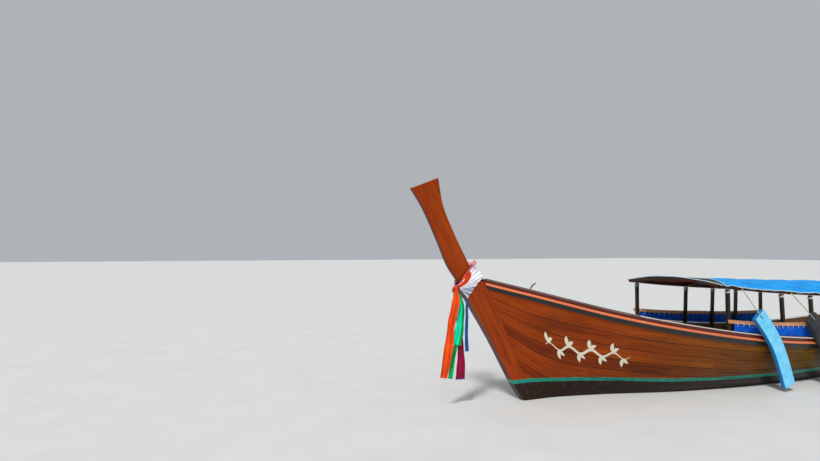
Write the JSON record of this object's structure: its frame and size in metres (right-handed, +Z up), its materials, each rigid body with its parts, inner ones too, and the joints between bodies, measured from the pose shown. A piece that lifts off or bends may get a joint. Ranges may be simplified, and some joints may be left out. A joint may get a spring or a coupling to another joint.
{
  "type": "longtail boat",
  "caption": "Open wooden longtail boat with a tall raked prow, curved canopy on posts and a pivoting engine with a long tail shaft and propeller.",
  "frame": {"origin": "on the waterline, on the centre plane, at the middle of the waterline length", "axes": "+X to the bow, +Y to port, +Z up"},
  "size_m": [14.0638, 2.3341, 3.6055],
  "materials": {
    "hull_timber": "varnished planks, weathered below the rail",
    "stem_timber": "glossy red-brown varnish",
    "rail_paint": "satin orange paint over a black strake",
    "cap_paint": "worn pale grey paint",
    "frame_timber": "oiled hardwood",
    "deck_timber": "worn bare boards",
    "post_timber": "dark stained hardwood",
    "batten_timber": "light planed wood",
    "roof_canvas": "dark coated canvas",
    "roof_tarp": "woven plastic tarpaulin",
    "side_cloth": "woven plastic cloth",
    "steelwork": "worn grey paint with rust",
    "engine_iron": "oily painted casting",
    "engine_alloy": "dull cast alloy",
    "radiator_paint": "black satin paint",
    "exhaust_steel": "heat-rusted steel",
    "propeller_bronze": "polished by use",
    "fender_blue": "light blue closed-cell foam board",
    "fender_black": "black rubbed foam board",
    "cloth_white": "thin wrapped cloth with printed bands",
    "cloth_orange": "thin satin cloth",
    "cloth_green": "thin satin cloth",
    "cloth_magenta": "thin satin cloth",
    "cloth_blue": "thin satin cloth",
    "anchor_steel": "rusty galvanised bar",
    "tank_plastic": "stained translucent plastic"
  },
  "bodies": {
    "root": {"keel_fore": "hull_timber", "keel_aft": "hull_timber", "stem": "stem_timber", "prow_blade": "stem_timber", "hull_bottom_fore_port": "hull_timber", "hull_bottom_fore_starboard": "hull_timber", "hull_bottom_aft_port": "hull_timber", "hull_bottom_aft_starboard": "hull_timber", "hull_side_fore_port": "hull_timber", "hull_side_fore_starboard": "hull_timber", "hull_side_middle_port": "hull_timber", "hull_side_middle_starboard": "hull_timber", "hull_side_aft_port": "hull_timber", "hull_side_aft_starboard": "hull_timber", "transom": "hull_timber", "rub_rail_port": "rail_paint", "rub_rail_starboard": "rail_paint", "cap_rail_port": "cap_paint", "cap_rail_starboard": "cap_paint", "frames": "frame_timber", "floorboards": "deck_timber", "foredeck": "deck_timber", "aft_deck": "deck_timber", "thwart_1": "deck_timber", "thwart_2": "deck_timber", "thwart_3": "deck_timber", "thwart_4": "deck_timber", "canopy_post_port_1": "post_timber", "canopy_post_port_2": "post_timber", "canopy_post_port_3": "post_timber", "canopy_post_port_4": "post_timber", "canopy_post_port_5": "post_timber", "canopy_post_starboard_1": "post_timber", "canopy_post_starboard_2": "post_timber", "canopy_post_starboard_3": "post_timber", "canopy_post_starboard_4": "post_timber", "canopy_post_starboard_5": "post_timber", "roof_frame": "batten_timber", "roof_cover_front": "roof_canvas", "roof_cover_rear": "roof_tarp", "side_rail_port": "batten_timber", "side_rail_starboard": "batten_timber", "weather_cloth_port": "side_cloth", "weather_cloth_starboard": "side_cloth", "engine_pedestal": "steelwork", "fender_blue": "fender_blue", "fender_black": "fender_black", "bow_sashes": "cloth_orange", "anchor": "anchor_steel", "fuel_tank": "tank_plastic"},
    "swivel": {"swivel_yoke": "steelwork"},
    "engine": {"engine_cradle": "steelwork", "engine_block": "engine_iron", "radiator": "radiator_paint", "air_cleaner": "radiator_paint", "exhaust_pipe": "exhaust_steel", "gearbox": "engine_alloy", "tiller": "steelwork", "tail_tube": "steelwork"},
    "propeller": {"propeller": "propeller_bronze"}
  },
  "joints": [
    {"name": "engine_swivel", "type": "hinge", "parent": "root", "child": "swivel", "pos_m": [-4.08, 0, 1.2], "axis": [0, 0, 1], "range_deg": [-60, 60]},
    {"name": "engine_tilt", "type": "hinge", "parent": "swivel", "child": "engine", "pos_m": [-4.08, 0, 1.35], "axis": [0, 1, 0], "range_deg": [-12, 12]},
    {"name": "propeller_spin", "type": "hinge", "parent": "engine", "child": "propeller", "pos_m": [-7.9307, 0, 0.6733], "axis": [0.9703, 0, 0.2419], "continuous": true}
  ]
}
